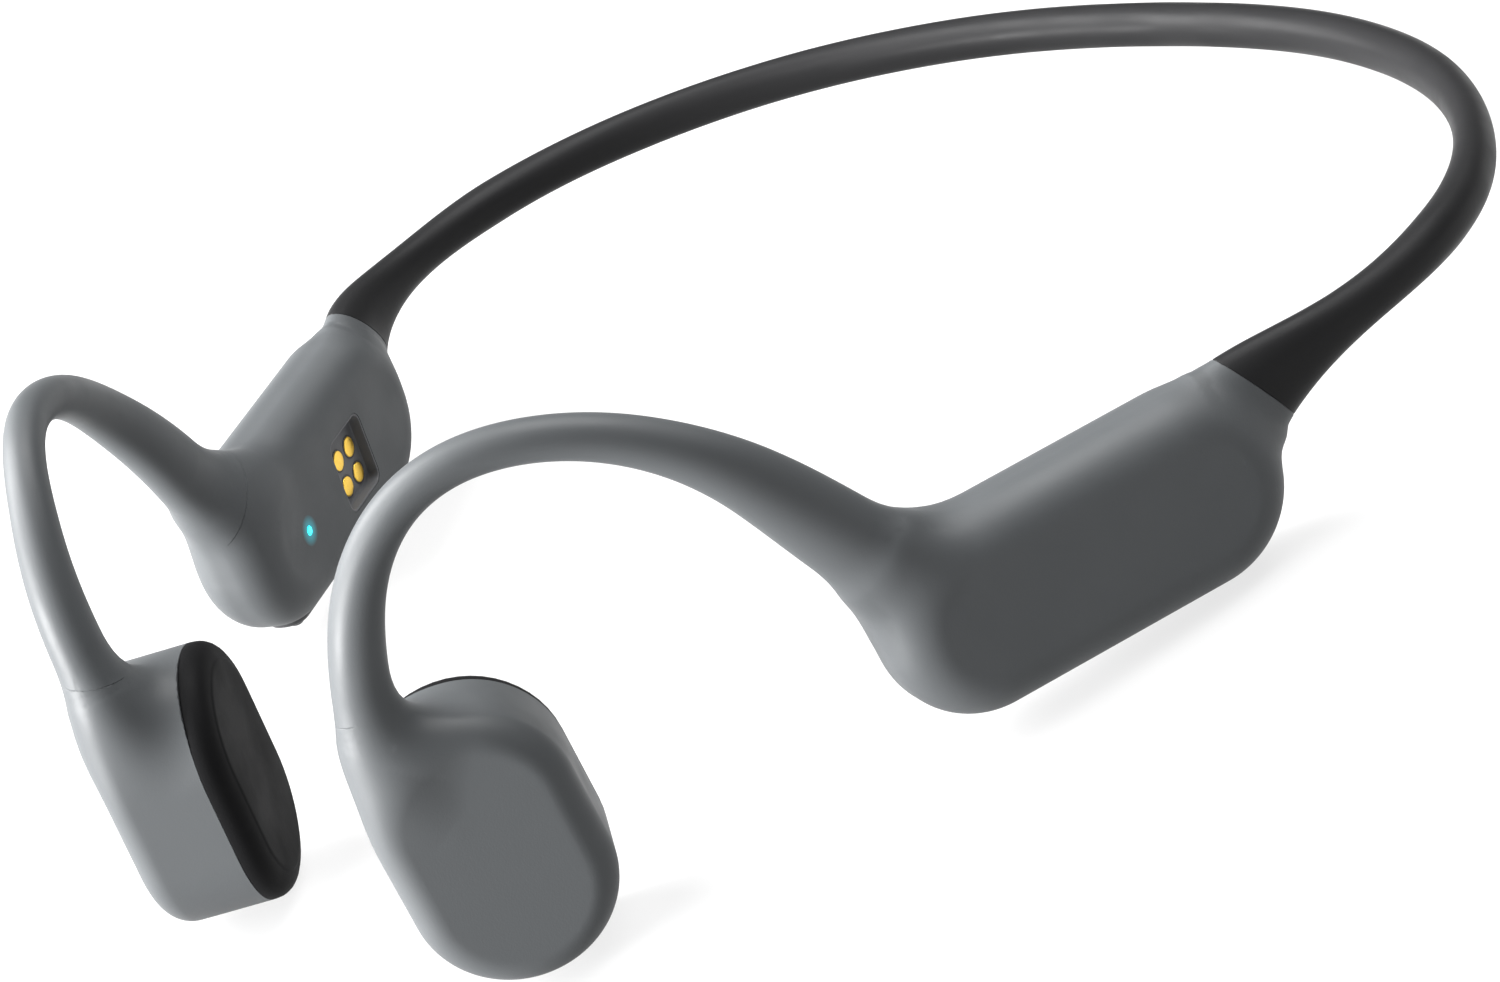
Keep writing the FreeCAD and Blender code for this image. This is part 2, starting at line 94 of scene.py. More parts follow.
# Seams, each a point and the way out of the pod or transducer, in its own axes.
BAND_SEAM = ((-20.42, 5.47, -0.16), (-0.844, 0.536, 0))
ROOT_SEAM = ((17.7, 7.4, 3.0), (0.66, 0.70, -0.28))
TIP_SEAM = ((4.4, 15.95, -2.7), (-0.13, 0.97, 0.17))
SEAM_WIDTH, SEAM_DEPTH = 0.09, 0.06

# The stretches of an arm that bend with its two joints, each from a still end to a moving one. The pieces
# are handed them, but nothing here bends a piece.
BAND_BEND = ((0, 70.3, 8.15), (63.5, 16.0, 14.0))
HOOK_BEND = ((40.5, -40.0, 38.0), (20.5, -65.0, 36.0))

# The boxes in which the pod, the cup and a key are meshed, in their own axes, and the meshes' cells.
POD_BOX, POD_CELL = ((-27, -11.5, -7), (23.5, 16, 7)), 0.42
CUP_BOX, CUP_CELL = ((-11.5, -15, -8.5), (12, 19.5, 5.2)), 0.40
STRIP_BOX, STRIP_CELL = ((-12, -11, -3), (12, -6, 3)), 0.16

# The charging recess in the right pod's inner face, its contacts and the light.
RECESS = {"x": -2.6, "y": -0.25, "length": 7.9, "height": 8.2, "corner": 1.3, "floor": 3.65}
CONTACT_MIDDLE, CONTACT_PITCH, CONTACT_RADIUS = (-3.1, -0.85), (2.9, 3.0), 1.05
LIGHT_AT, LIGHT_RADIUS = (10.3, -0.6), 0.5

# The volume keys in the right pod's lower edge.
STRIP_X, STRIP_LENGTH, STRIP_WIDTH = 3.0, 22.0, 4.2
STRIP_TOP, STRIP_DEEP = -6.6, 1.4
KEY_OFFSET = {"volume_up": 5.0, "volume_down": -5.0}
KEY_LENGTH, KEY_WIDTH, KEY_GAP = 8.0, 1.9, 0.22
BEZEL_RISE, BEZEL_EDGE, KEY_RISE, KEY_EDGE = 0.5, 0.35, 1.3, 0.6

# Colours, and the grey silicone's roughness, grain, depth of grain, shine and change of shade.
GREY, BLACK = (0.0540, 0.0575, 0.0602), (0.0125, 0.0125, 0.013)
GREY_FINISH = (0.50, 5200, 9e-6, 0.18, 0.035)

# The camera's place in metres and its directions.
CAMERA_PLACE = (0.33688, -0.26262, 0.22938)
CAMERA_RIGHT, CAMERA_DOWN = (0.70937, 0.58239, -0.39701), (0.05914, -0.61046, -0.78984)
CAMERA_FORWARD = (-0.70235, 0.53681, -0.46748)


# ---- Directions and curves ----

def unit(vectors):
    vectors = np.asarray(vectors, float)
    return vectors / np.linalg.norm(vectors, axis=-1, keepdims=True)


class Axes:
    """A piece's own axes: x forward, y up, z towards the head."""

    def __init__(self, centre, toe, pitch, lean):
        toe, pitch, lean = math.radians(toe), math.radians(pitch), math.radians(lean)
        rear = np.array([math.sin(toe) * math.cos(pitch), math.cos(toe) * math.cos(pitch), math.sin(pitch)])
        level = np.array([math.cos(toe), -math.sin(toe), 0])
        outward = level * math.cos(lean) + np.cross(level, rear) * math.sin(lean)
        self.rows = np.array([-rear, np.cross(outward, rear), -outward])
        self.centre = np.array(centre, float)

    def local(self, points):
        return (points - self.centre) @ self.rows.T

    def world(self, points):
        return np.asarray(points, float) @ self.rows + self.centre

    def turned(self, direction):
        return np.asarray(direction, float) @ self.rows


POD, CUP = Axes(**POD_PLACE), Axes(**CUP_PLACE)


def spline(points, at):
    """Points on the clamped cubic curve with these control points, at parameters from 0 to 1."""
    points, at = np.asarray(points, float), np.clip(at, 0, 1 - 1e-9)
    inner = np.linspace(0, 1, len(points) - 2)
    knots = np.concatenate([np.zeros(3), inner, np.ones(3)])
    weights = [((low <= at) & (at < high)).astype(float) for low, high in zip(knots[:-1], knots[1:])]
    for degree in (1, 2, 3):
        raised = []
        for k in range(len(weights) - 1):
            left, right = knots[k + degree] - knots[k], knots[k + degree + 1] - knots[k + 1]
            row = np.zeros_like(at)
            if left > 0:
                row += (at - knots[k]) / left * weights[k]
            if right > 0:
                row += (knots[k + degree + 1] - at) / right * weights[k + 1]
            raised.append(row)
        weights = raised
    return np.array(weights).T @ points


def eased(x, xs, ys):
    """A smooth curve through the points (xs, ys)."""
    slopes = np.gradient(np.asarray(ys, float), np.asarray(xs, float))
    k = np.clip(np.searchsorted(xs, x, side="right") - 1, 0, len(xs) - 2)
    x0, x1 = np.take(xs, k), np.take(xs, k + 1)
    t = np.clip((x - x0) / (x1 - x0), 0, 1)
    width = x1 - x0
    left = (2 * t ** 3 - 3 * t ** 2 + 1) * np.take(ys, k) + (t ** 3 - 2 * t ** 2 + t) * width * slopes[k]
    right = (3 * t ** 2 - 2 * t ** 3) * np.take(ys, k + 1) + (t ** 3 - t ** 2) * width * slopes[k + 1]
    return left + right


class Tube:
    """A bent rod of elliptic section along a curve. A sink makes it fade out towards its end."""

    def __init__(self, line, reference, half_side, half_up, sink=0.0):
        self.line, self.reference = np.array(line, float), np.array(reference, float)
        self.half_side, self.half_up, self.sink = half_side, half_up, sink
        self.at = np.linspace(0, 1, 160)
        self.samples = spline(self.line, self.at)

    def centre(self, at):
        return spline(self.line, at)

    def tangent(self, at, step=1e-3):
        low, high = np.clip(at - step, 0, 1), np.clip(at + step, 0, 1)
        return unit(self.centre(high) - self.centre(low))

    def section(self, at):
        """The directions sideways and up at each parameter."""
        tangent = self.tangent(at)
        side = unit(np.cross(tangent, self.reference))
        return side, np.cross(side, tangent)

    def nearest(self, points):
        """The parameter of the line's nearest point to each point."""
        far = (self.samples ** 2).sum(1) - 2 * points @ self.samples.T
        at = self.at[far.argmin(1)]
        span = np.linalg.norm(np.diff(self.samples, axis=0), axis=1).sum()
        for _ in range(3):
            along = ((points - self.centre(at)) * self.tangent(at)).sum(1)
            at = np.clip(at + along / span, 0, 1)
        return at

    def distance(self, points):
        """About how far each point is outside the rod's surface."""
        at = self.nearest(points)
        offset = points - self.centre(at)
        side, up = self.section(at)
        s, h = (offset * side).sum(1), (offset * up).sum(1)
        along = np.sqrt(np.maximum((offset ** 2).sum(1) - s * s - h * h, 0))
        wide, tall = self.half_side(at), self.half_up(at)
        narrow = np.minimum(wide, tall)
        first = np.sqrt((s / wide) ** 2 + (h / tall) ** 2 + (along / narrow) ** 2) + 1e-9
        second = np.sqrt((s / wide ** 2) ** 2 + (h / tall ** 2) ** 2 + (along / narrow ** 2) ** 2) + 1e-9
        return first * (first - 1) / second + self.sink * at * at


# ---- The shape of an arm, as distances from its surface ----

def rounded_rectangle(x, y, half_x, half_y, corner):
    x, y = np.abs(x) - half_x + corner, np.abs(y) - half_y + corner
    return np.hypot(np.maximum(x, 0), np.maximum(y, 0)) + np.minimum(np.maximum(x, y), 0) - corner


def rounded_slab(flat, depth, edge):
    """A slab with rounded edges, from distances to its outline and to its faces."""
    u, v = flat + edge, depth + edge
    return np.hypot(np.maximum(u, 0), np.maximum(v, 0)) + np.minimum(np.maximum(u, v), 0) - edge


def union(a, b, blend):
    """Two distances as one, with a fillet where they meet."""
    near = np.maximum(blend - np.abs(a - b), 0) / blend
    return np.minimum(a, b) - near * near * blend / 4


def straight_on(before, last, reach):
    """The point that carries a line on past its last point."""
    return np.array(last) + unit(np.subtract(last, before)) * reach


def rod(line, reference, at, half_side, half_up):
    """A rod whose section changes smoothly between the sizes given."""
    return Tube(line, reference, lambda t: eased(t, at, half_side), lambda t: eased(t, at, half_up))


def inner_rod(line, reference, at, half_side, half_up, sink=0.0):
    """A rod that tapers in straight steps, for the inside of a pod or cup."""
    return Tube(line, reference, lambda t: np.interp(t, at, half_side),
                lambda t: np.interp(t, at, half_up), sink)


hook_tube = rod(HOOK_LINE, HOOK_PLANE, HOOK_AT, HOOK_HALF_SIDE, HOOK_HALF_UP)
band_tube = rod(BAND_LINE, (0, 0, 1), BAND_AT, BAND_HALF_SIDE, BAND_HALF_UP)
tail_tube = inner_rod([HOOK_LINE[-1], *CUP.world(TAIL_LINE)], HOOK_PLANE, (0, 1), TAIL_RADIUS, TAIL_RADIUS,
                      TAIL_SINK)
neck_tube = inner_rod([BAND_LINE[-1], straight_on(*BAND_LINE[-2:], NECK_REACH), *POD.world(NECK_LINE)],
                      (0, 0, 1), NECK_AT, NECK_HALF_SIDE, NECK_HALF_UP)
heel_tube = inner_rod([HOOK_LINE[0], straight_on(HOOK_LINE[1], HOOK_LINE[0], HEEL_REACH),
                       *POD.world(HEEL_LINE)],
                      HOOK_PLANE, (0, 1), HEEL_HALF_SIDE, HEEL_HALF_UP, HEEL_SINK)


def pod_block(points):
    x, y, z = POD.local(points).T
    flat = rounded_rectangle(x, y, POD_HALF[0], POD_HALF[1], POD_CORNER)
    return rounded_slab(flat, np.abs(z) - POD_HALF[2], POD_EDGE)


def cup_block(points):
    x, y, z = CUP.local(points).T
    flat = rounded_rectangle(x, y, CUP_HALF[0], CUP_HALF[1], CUP_CORNER)
    return rounded_slab(flat, CUP_BACK - z, CUP_EDGE)


def root_field(points):
    """The pod, its neck, and the near ends of the hook and the neckband."""
    neck = np.minimum(neck_tube.distance(points), band_tube.distance(points))
    blend = np.interp(POD.local(points)[:, 2], ROOT_BLEND_AT, ROOT_BLEND)
    root = np.minimum(hook_tube.distance(points), heel_tube.distance(points))
    return union(union(pod_block(points), neck, NECK_BLEND), root, blend)


def tip_field(points):
    """The transducer's cup and the hook's far end."""
    tip = np.minimum(hook_tube.distance(points), tail_tube.distance(points))
    return union(cup_block(points), tip, TIP_BLEND)


def hook_field(points):
    return np.minimum(root_field(points), tip_field(points))


def gradient(field, points, step=0.02):
    slopes = []
    for axis in np.eye(3) * step:
        slopes.append((field(points + axis) - field(points - axis)) / (2 * step))
    return np.array(slopes).T


# ---- Meshes ----

def settle(field, points, rounds=4, reach=0.5):
    """Moves points onto the surface where the field is zero."""
    for _ in range(rounds):
        slope = gradient(field, points)
        move = -field(points)[:, None] * slope / np.maximum((slope ** 2).sum(1), 0.05)[:, None]
        length = np.linalg.norm(move, axis=1, keepdims=True)
        points = points + move * np.minimum(1, reach / np.maximum(length, 1e-9))
    return points


def surface(field, axes, low, high, cell):
    """Vertices and quads of a field's surface inside a box of some axes."""
    counts = np.ceil((np.array(high, float) - low) / cell).astype(int) + 1
    steps = [low[k] + cell * np.arange(counts[k]) for k in range(3)]
    grid = np.stack(np.meshgrid(*steps, indexing="ij"), -1).reshape(-1, 3)
    batches = np.array_split(grid, len(grid) // 60000 + 1)
    values = np.concatenate([field(axes.world(batch)) for batch in batches])
    inside = (values < 0).reshape(counts)
    total = np.zeros(counts - 1, int)
    for i in (0, 1):
        for j in (0, 1):
            for k in (0, 1):
                total += inside[i:counts[0] - 1 + i, j:counts[1] - 1 + j, k:counts[2] - 1 + k]
    active = (total > 0) & (total < 8)
    number = np.full(total.shape, -1)
    number[active] = np.arange(active.sum())
    centres = np.argwhere(active) * cell + np.array(low) + cell / 2
    quads = []
    for axis in range(3):
        lower = np.take(inside, np.arange(counts[axis] - 1), axis)
        upper = np.take(inside, np.arange(1, counts[axis]), axis)
        spots = np.argwhere(lower != upper)
        others = [k for k in range(3) if k != axis]
        fits = np.all([(spots[:, k] > 0) & (spots[:, k] < counts[k] - 1) for k in others], axis=0)
        spots = spots[fits]
        one, two = np.eye(3, dtype=int)[others]
        ring = np.stack([number[tuple((spots - shift).T)] for shift in (0 * one, one, one + two, two)], 1)
        outward = lower[tuple(spots.T)] == (axis != 1)
        ring[outward] = ring[outward][:, ::-1]
        quads.append(ring)
    return settle(field, axes.world(centres)), np.concatenate(quads)[:, ::-1]


def mesh_object(name, points, faces):
    mesh = bpy.data.meshes.new(name)
    mesh.from_pydata((np.asarray(points) * MM).tolist(), [], [list(map(int, face)) for face in faces])
    piece = bpy.data.objects.new(name, mesh)
    bpy.context.scene.collection.objects.link(piece)
    return piece


def mirrored_field(field, side):
    return lambda points: field(points * np.array([side, 1, 1]))


def mirror(piece):
    """Makes a left piece into a right one."""
    piece.data.transform(Matrix.Diagonal((-1, 1, 1, 1)))
    piece.data.flip_normals()


def placed(shape, name, side):
    """A side's own copy of a left shape, which is mirrored on the right."""
    piece = bpy.data.objects.new(name + "_" + side, shape.data.copy())
    bpy.context.scene.collection.objects.link(piece)
    if side == "right":
        mirror(piece)
    return piece


def all_round(local):
    return np.ones_like(local[0])


def inner_side_only(local):
    """The root's seam shows on the head's side and dies away on the outer face."""
    return np.clip((local[2] - 0.5) / 2.0, 0, 1)


def front_only(local):
    """The tip's seam shows along the front and dies away behind."""
    return np.clip((local[0] - 3.4) / 2.4, 0, 1)


def cut(mesh, axes, seam, field, depth_share=all_round):
    """Cuts a mesh square at a seam, closes it and leaves a fine groove round it."""
    point, out = axes.world(seam[0]) * MM, unit(axes.turned(seam[1]))
    lip = bmesh.ops.bisect_plane(mesh, geom=mesh.verts[:] + mesh.edges[:] + mesh.faces[:], dist=1e-7,
                                 plane_co=point, plane_no=out, clear_outer=True)
    loop = [e for e in lip["geom_cut"] if isinstance(e, bmesh.types.BMEdge)]
    bmesh.ops.bisect_plane(mesh, geom=mesh.verts[:] + mesh.edges[:] + mesh.faces[:], dist=1e-7,
                           plane_co=point - out * SEAM_WIDTH * MM, plane_no=out)
    loop = [e for e in loop if e.is_valid]
    rim = list({v for e in loop for v in e.verts})
    places = np.array([v.co for v in rim]) / MM
    slope = gradient(field, places)
    slope -= (slope @ out)[:, None] * out
    depths = depth_share(axes.local(places).T) * SEAM_DEPTH
    for vertex, inward in zip(rim, unit(slope) * depths[:, None]):
        vertex.co -= Vector(inward * MM)
    bmesh.ops.holes_fill(mesh, edges=loop, sides=0)


def shade(piece, field=None):
    """Smooth shading that follows the exact surface, with crisp seams and flats."""
    mesh = piece.data
    mesh.shade_smooth()
    if field is None:
        return
    corners, sizes = np.zeros(len(mesh.loops), int), np.zeros(len(mesh.polygons), int)
    mesh.loops.foreach_get("vertex_index", corners)
    mesh.polygons.foreach_get("loop_total", sizes)
    places, faces = np.zeros(len(mesh.vertices) * 3), np.zeros(len(mesh.polygons) * 3)
    mesh.vertices.foreach_get("co", places)
    mesh.polygons.foreach_get("normal", faces)
    smooth = unit(gradient(field, places.reshape(-1, 3) / MM, 0.05))[corners]
    flat = np.repeat(faces.reshape(-1, 3), sizes, axis=0)
    turned = (smooth * flat).sum(1) < 0.85
    smooth[turned] = flat[turned]
    mesh.normals_split_custom_set(smooth.tolist())


def mark_sharp(piece, degrees):
    """Keeps edges that turn by more than this angle crisp."""
    piece.data.set_sharp_from_angle(angle=math.radians(degrees))


def finish_mesh(piece, work):
    bmesh.ops.recalc_face_normals(work, faces=work.faces[:])
    work.to_mesh(piece.data)
    work.free()


def loft(name, rings):
    """A closed skin through rings of points, with flat ends."""
    rings = np.asarray(rings, float)
    count, around = rings.shape[:2]
    faces = []
    for k in range(count - 1):
        for j in range(around):
            a, b = k * around + j, k * around + (j + 1) % around
            faces.append((a, b, b + around, a + around))
    faces.append(range(around - 1, -1, -1))
    faces.append(range((count - 1) * around, count * around))
    piece = mesh_object(name, rings.reshape(-1, 3), faces)
    work = bmesh.new()
    work.from_mesh(piece.data)
    finish_mesh(piece, work)
    return piece


def circle(centre, side, up, radius, around):
    angle = np.linspace(0, 2 * math.pi, around, endpoint=False)[:, None]
    return np.asarray(centre) + radius * (np.cos(angle) * side + np.sin(angle) * up)


def skin_rings(tube, field, at, planes, around, reach):
    """Rings of the field's surface round a tube, each in its own plane."""
    sides, ups = tube.section(at)
    sides = unit(sides - planes * (sides * planes).sum(1, keepdims=True))
    turned = np.cross(sides, planes)
    ups = turned * np.sign((turned * ups).sum(1, keepdims=True))
    angle = np.linspace(0, 2 * math.pi, around, endpoint=False)[None, :, None]
    ways = (np.cos(angle) * sides[:, None] + np.sin(angle) * ups[:, None]).reshape(-1, 3)
    centres = np.repeat(tube.centre(at), around, axis=0)
    length = np.full(len(ways), 2.0)
    for _ in range(10):
        points = centres + ways * length[:, None]
        here = field(points)
        slope = (field(points + ways * 0.02) - here) / 0.02
        length = np.clip(length - np.clip(here / np.maximum(slope, 0.2), -0.9, 0.9), 0.3, reach)
    return (centres + ways * length[:, None]).reshape(len(at), around, 3)


def groove_ends(rings, first, last):
    """Draws in the end rings a little, so that each seam shows as a fine groove.

    Each end is given as its axes and the function for the groove's depth at a point, or as nothing."""
    made = list(rings)
    for end, next_ring, wanted in ((0, 1, first), (-1, -2, last)):
        if not wanted:
            continue
        axes, depth_share = wanted
        middle = made[end].mean(0)
        inward = unit(middle - made[end]) * depth_share(axes.local(made[end]).T)[:, None]
        step = unit(made[next_ring] - made[end])
        lip = made[end] + step * SEAM_WIDTH
        made[end] = made[end] + inward * SEAM_DEPTH
        made.insert(1 if end == 0 else len(made) - 1, lip)
    return made


# ---- Band and hook ----

def last_outside(tube, axes, seam):
    """The last parameter at which a tube's line is still outside a seam's plane."""
    at = np.linspace(0, 1, 4000)
    side = (tube.centre(at) - axes.world(seam[0])) @ unit(axes.turned(seam[1]))
    return at[np.nonzero(side > 0)[0][-1]]


def turned_planes(tube, at, first, last, reach):
    """Section planes square to the line, that turn into the seams' planes at its ends."""
    planes = tube.tangent(at)
    for target, share in ((first, 1 - (at - at[0]) / reach), (last, 1 - (at[-1] - at) / reach)):
        if target is None:
            continue
        share = np.clip(share, 0, 1)[:, None]
        planes = planes * (1 - share) + np.sign(planes @ target)[:, None] * target * share
    return unit(planes)


def band_half():
    """Half of the neckband's skin, from the plane of symmetry to the seam at the pod."""
    end = last_outside(band_tube, POD, BAND_SEAM)
    at = np.linspace(0, end, 170)
    seam = unit(POD.turned(BAND_SEAM[1]))
    planes = turned_planes(band_tube, at, None, seam, 0.07)
    rings = skin_rings(band_tube, root_field, at, planes, 48, 8.0)
    rings[0][:, 0] = 0
    return loft("band_shape", groove_ends(rings, None, (POD, all_round)))


def hook_piece():
    """The hook's skin, from the seam at its root to the seam at its tip."""
    root, tip = unit(POD.turned(ROOT_SEAM[1])), unit(CUP.turned(TIP_SEAM[1]))
    start = hook_tube.centre(np.array([0.0]))[0]
    away = (start - POD.world(ROOT_SEAM[0])) @ root
    way = hook_tube.tangent(np.array([0.0]))[0]
    longer = Tube(np.vstack([start - way * (away / (way @ root)), hook_tube.line]), HOOK_PLANE,
                  hook_tube.half_side, hook_tube.half_up)
    end = last_outside(longer, CUP, TIP_SEAM)
    at = np.linspace(0, end, 150)
    planes = turned_planes(longer, at, root, tip, 0.12)
    rings = skin_rings(longer, hook_field, at, planes, 56, 12.0)
    return loft("hook_shape", groove_ends(rings, (POD, inner_side_only), (CUP, front_only)))


def core(name, tube, at, shift, radius):
    """A round wire along a tube's line, shifted across it."""
    sides, ups = tube.section(at)
    rings = []
    for centre, side, up in zip(tube.centre(at), sides, ups):
        middle = centre + side * shift[0] + up * shift[1]
        rings.append(circle(middle, side, up, radius, 12))
    return loft(name, rings)


# ---- Pod and transducer ----

def pod_piece():
    points, faces = surface(root_field, POD, *POD_BOX, POD_CELL)
    piece = mesh_object("pod_shape", points, faces)
    work = bmesh.new()
    work.from_mesh(piece.data)
    cut(work, POD, BAND_SEAM, root_field)
    cut(work, POD, ROOT_SEAM, root_field, inner_side_only)
    finish_mesh(piece, work)
    return piece


def cup_piece():
    points, faces = surface(tip_field, CUP, *CUP_BOX, CUP_CELL)
    piece = mesh_object("cup_shape", points, faces)
    work = bmesh.new()
    work.from_mesh(piece.data)
    cut(work, CUP, TIP_SEAM, tip_field, front_only)
    cut(work, CUP, ((0, 0, CUP_RIM), (0, 0, 1)), tip_field)
    finish_mesh(piece, work)
    return piece


def outline(half_x, half_y, corner, per_corner=14, per_side=8):
    """Points round a rounded rectangle."""
    points = []
    for k, (sx, sy) in enumerate(((1, 1), (-1, 1), (-1, -1), (1, -1))):
        for angle in np.linspace(0, math.pi / 2, per_corner):
            turn = angle + k * math.pi / 2
            points.append((sx * (half_x - corner) + corner * math.cos(turn),
                           sy * (half_y - corner) + corner * math.sin(turn)))
        following = ((-1, 1), (-1, -1), (1, -1), (1, 1))[k]
        turn = (k + 1) * math.pi / 2
        start = np.array(points[-1])
        end = np.array([following[0] * (half_x - corner) + corner * math.cos(turn),
                        following[1] * (half_y - corner) + corner * math.sin(turn)])
        for t in np.linspace(0, 1, per_side + 2)[1:-1]:
            points.append(tuple(start + (end - start) * t))
    return np.array(points)


def outline_ring(axes, half, corner, inset, z, centre=(0, 0)):
    """A rounded rectangle drawn in by an inset, at a height of some axes."""
    flat = outline(half[0] - inset, half[1] - inset, max(corner - inset, 0.05))
    return axes.world(np.column_stack([flat + centre, np.full(len(flat), z)]))


# How far the pad's outline is drawn in, and its height over the cup's rim.
PAD_PROFILE = [(0.06, 0.0), (0.0, 0.08), (0.0, 0.35), (0.06, 0.8), (0.2, 1.2), (0.45, 1.6), (0.8, 1.92),
               (1.2, 2.14), (1.6, 2.27), (1.9, 2.33), (2.05, 2.36), (2.15, 2.42), (2.3, 2.46), (2.6, 2.475)]


def pad_piece():
    """The pad: a round-shouldered rim, and a flat oval face with a fine crease round it."""
    rings = [outline_ring(CUP, CUP_HALF, CUP_CORNER, inset, CUP_RIM + rise) for inset, rise in PAD_PROFILE]
    last = PAD_PROFILE[-1][0]
    for share in (0.45, 0.7, 0.88, 0.97):
        inset = last + (CUP_HALF[0] - last) * share
        rings.append(outline_ring(CUP, CUP_HALF, CUP_CORNER, inset, CUP_RIM + 2.48))
    return loft("pad_shape", rings)


# ---- The right pod's recess, contacts, light and keys ----

def prism(name, half, corner, centre, z0, z1):
    """A rounded rectangular block in the pod's axes."""
    rings = [outline_ring(POD, half, corner, 0, z, centre) for z in (z0, z1)]
    return loft(name, rings)


def carve(piece, cutters):
    """Cuts closed pieces out of another, for good."""
    for cutter in cutters:
        change = piece.modifiers.new("carve", "BOOLEAN")
        change.operation, change.solver, change.object = "DIFFERENCE", "EXACT", cutter
    ready = piece.evaluated_get(bpy.context.evaluated_depsgraph_get())
    mesh = bpy.data.meshes.new_from_object(ready)
    piece.modifiers.clear()
    piece.data = mesh
    for cutter in cutters:
        bpy.data.objects.remove(cutter)


def recess_tray():
    """The tray that lines the charging recess, with a rounded lip and a rounded foot."""
    half, centre = (RECESS["length"] / 2, RECESS["height"] / 2), (RECESS["x"], RECESS["y"])
    top, floor = POD_HALF[2], RECESS["floor"]
    profile = [(0.0, floor - 0.6), (0.0, top - 0.12), (0.03, top - 0.06), (0.08, top - 0.03),
               (0.16, top - 0.03), (0.22, top - 0.06), (0.25, top - 0.12), (0.27, floor + 0.25),
               (0.32, floor + 0.1), (0.45, floor + 0.02), (0.6, floor), (1.2, floor), (2.4, floor),
               (3.3, floor)]
    rings = [outline_ring(POD, half, RECESS["corner"], inset, z, centre) for inset, z in profile]
    return loft("recess_tray", rings)


def contact_places():
    """The four contacts' middles, in the pod's axes."""
    for i in (-0.5, 0.5):
        for j in (-0.5, 0.5):
            yield CONTACT_MIDDLE[0] + i * CONTACT_PITCH[0], CONTACT_MIDDLE[1] + j * CONTACT_PITCH[1]


def turned_piece(name, x, y, profile, around=40):
    """A round piece in the pod's axes, from radii and heights."""
    rings = [POD.world(circle((x, y, z), np.array([1.0, 0, 0]), np.array([0, 1.0, 0]), radius, around))
             for radius, z in profile]
    return loft(name, rings)


def join(name, pieces):
    """One piece from several."""
    work = bmesh.new()
    for piece in pieces:
        work.from_mesh(piece.data)
        bpy.data.objects.remove(piece)
    joined = mesh_object(name, np.zeros((0, 3)), [])
    work.to_mesh(joined.data)
    work.free()
    return joined


def contacts():
    """Four gold contacts with a bevelled edge and a slightly domed face."""
    floor, r = RECESS["floor"], CONTACT_RADIUS
    profile = [(r, floor - 0.5), (r, floor + 0.05), (r - 0.03, floor + 0.10), (r - 0.09, floor + 0.13),
               (r - 0.2, floor + 0.14), (r * 0.6, floor + 0.155), (r * 0.3, floor + 0.165),
               (0.05, floor + 0.168)]
    return join("contacts", [turned_piece("contact", x, y, profile) for x, y in contact_places()])


def contact_shade_rings():
    """Painted shade for the dark gap round each contact: a fine raised ring of dark rubber."""
    floor, r = RECESS["floor"], CONTACT_RADIUS
    profile = [(r + 0.02, floor - 0.4), (r + 0.02, floor + 0.03), (r + 0.06, floor + 0.05),
               (r + 0.15, floor + 0.05), (r + 0.19, floor + 0.03), (r + 0.19, floor - 0.4)]
    return join("contact_shade_rings", [turned_piece("shade_ring", x, y, profile) for x, y in contact_places()])


def face_height(x, y):
    """How far the pod's inner face stands from its middle at a place."""
    return POD.local(settle(root_field, POD.world([(x, y, POD_HALF[2])])))[0, 2]


def light_lens():
    """The light's lens, slightly domed and just proud of the silicone."""
    top = face_height(*LIGHT_AT)
    profile = [(LIGHT_RADIUS, top - 3.0), (LIGHT_RADIUS, top - 0.02), (LIGHT_RADIUS - 0.04, top + 0.02),
               (LIGHT_RADIUS - 0.14, top + 0.045), (LIGHT_RADIUS * 0.4, top + 0.06), (0.03, top + 0.065)]
    return turned_piece("light_lens", LIGHT_AT[0], LIGHT_AT[1], profile)


def strip_field(points, x, length, width, rise, edge):
    """A stadium-shaped piece that follows the pod's lower edge and stands proud of it."""
    lx, ly, lz = POD.local(points).T
    plan = rounded_rectangle(lx - x, lz, length / 2, width / 2, width / 2 - 0.02)
    skin = pod_block(points) - rise
    solid = rounded_slab(plan, skin, edge)
    return np.maximum(solid, np.maximum(ly - STRIP_TOP, -STRIP_DEEP - skin))


def bezel_field(points):
    """The strip round the keys, with a window for each key."""
    body = strip_field(points, STRIP_X, STRIP_LENGTH, STRIP_WIDTH, BEZEL_RISE, BEZEL_EDGE)
    lx, _, lz = POD.local(points).T
    half_length, half_width = KEY_LENGTH / 2 + KEY_GAP, KEY_WIDTH / 2 + KEY_GAP
    for shift in KEY_OFFSET.values():
        window = rounded_rectangle(lx - STRIP_X - shift, lz, half_length, half_width, half_width - 0.02)
        body = np.maximum(body, -window)
    return body


def strip_piece(name, field):
    low, high = np.add(STRIP_BOX, (STRIP_X, 0, 0))
    points, faces = surface(field, POD, low, high, STRIP_CELL)
    piece = mesh_object(name, points, faces)
    work = bmesh.new()
    work.from_mesh(piece.data)
    finish_mesh(piece, work)
    return piece


def key_field(shift):
    return lambda points: strip_field(points, STRIP_X + shift, KEY_LENGTH, KEY_WIDTH, KEY_RISE, KEY_EDGE)


# ---- Materials ----

